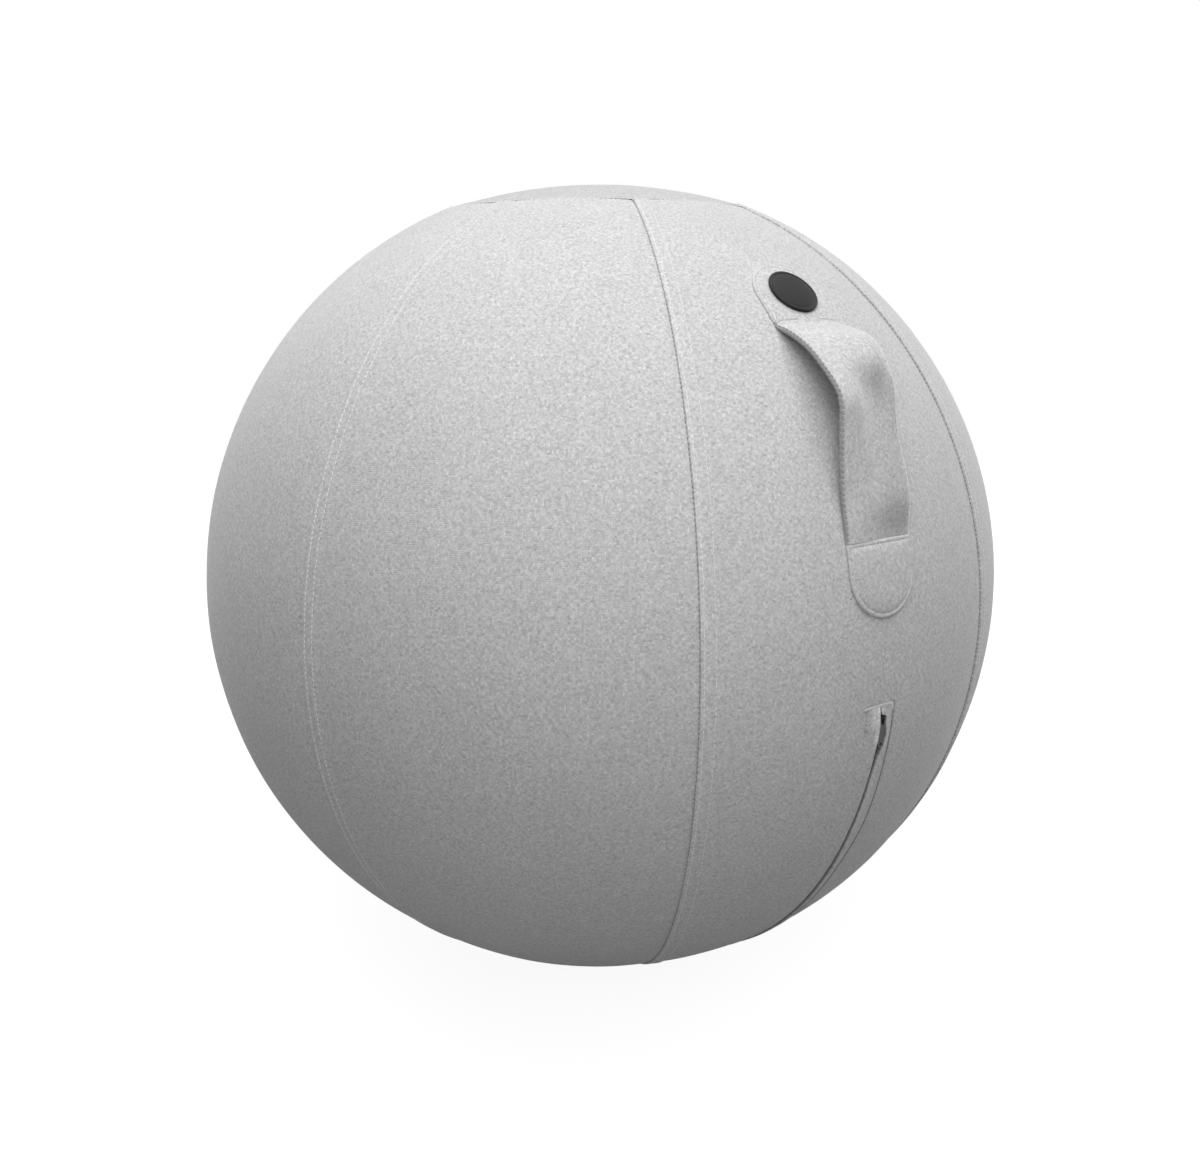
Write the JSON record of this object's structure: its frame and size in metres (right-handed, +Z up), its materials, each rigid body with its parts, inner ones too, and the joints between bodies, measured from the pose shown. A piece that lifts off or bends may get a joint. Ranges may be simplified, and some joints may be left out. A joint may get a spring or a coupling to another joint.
{
  "type": "sitting ball",
  "caption": "Round air-filled seat ball in a panelled grey cloth cover with cap, floor patch, arched carry strap, round badge and zip.",
  "frame": {"origin": "on the floor under the ball's centre, in the middle of the pressed-flat foot", "axes": "+Z up; the carry strap and the zip are on the -Y side, and X runs across them"},
  "size_m": [0.65, 0.6534, 0.6368],
  "materials": {
    "cover_cloth": "light grey marled upholstery cloth",
    "strap_cloth": "the same marled cloth, edge stitched",
    "webbing": "black woven webbing",
    "backing_cloth": "plain grey backing cloth",
    "badge_rubber": "black satin moulded rubber",
    "zip_tape": "dark grey woven zip tape",
    "zip_teeth": "dark grey moulded teeth",
    "zip_metal": "dark grey lacquered die-cast metal",
    "bladder_vinyl": "grey soft vinyl",
    "valve_plug": "white moulded plug"
  },
  "bodies": {
    "cover": {"panel_front": "cover_cloth", "panel_front_right": "cover_cloth", "panel_right": "cover_cloth", "panel_back_right": "cover_cloth", "panel_back": "cover_cloth", "panel_back_left": "cover_cloth", "panel_left": "cover_cloth", "panel_front_left": "cover_cloth", "top_cap": "cover_cloth", "bottom_patch": "cover_cloth", "bladder": "bladder_vinyl", "valve_seat": "bladder_vinyl", "valve_plug": "valve_plug", "handle_upper_end": "strap_cloth", "handle_lower_tab": "strap_cloth", "handle_backing_upper": "backing_cloth", "handle_backing_lower": "backing_cloth", "badge_disc": "badge_rubber", "zip_tape_left": "zip_tape", "zip_tape_right": "zip_tape", "zip_teeth_left": "zip_teeth", "zip_teeth_right": "zip_teeth", "zip_top_stops": "zip_metal", "zip_bottom_stop": "zip_metal", "zip_lip_left": "cover_cloth", "zip_lip_right": "cover_cloth"},
    "slider": {"zip_slider": "zip_metal"},
    "pull": {"zip_pull": "zip_metal"},
    "handle": {"handle_strap": "strap_cloth", "handle_webbing": "webbing"}
  },
  "joints": [
    {"name": "zip_slider_travel", "type": "hinge", "parent": "cover", "child": "slider", "pos_m": [0, 0, 0.317], "axis": [1, 0, 0], "range_deg": [0, 59], "deforming": ["zip_teeth_left", "zip_teeth_right"]},
    {"name": "zip_pull_swing", "type": "hinge", "parent": "slider", "child": "pull", "pos_m": [0, -0.32646, 0.29658], "axis": [1, 0, 0], "range_deg": [-150, 0]},
    {"name": "handle_lift", "type": "slide", "parent": "cover", "child": "handle", "axis": [0, -0.8462, 0.5329], "range_m": [0, 0.008]}
  ]
}
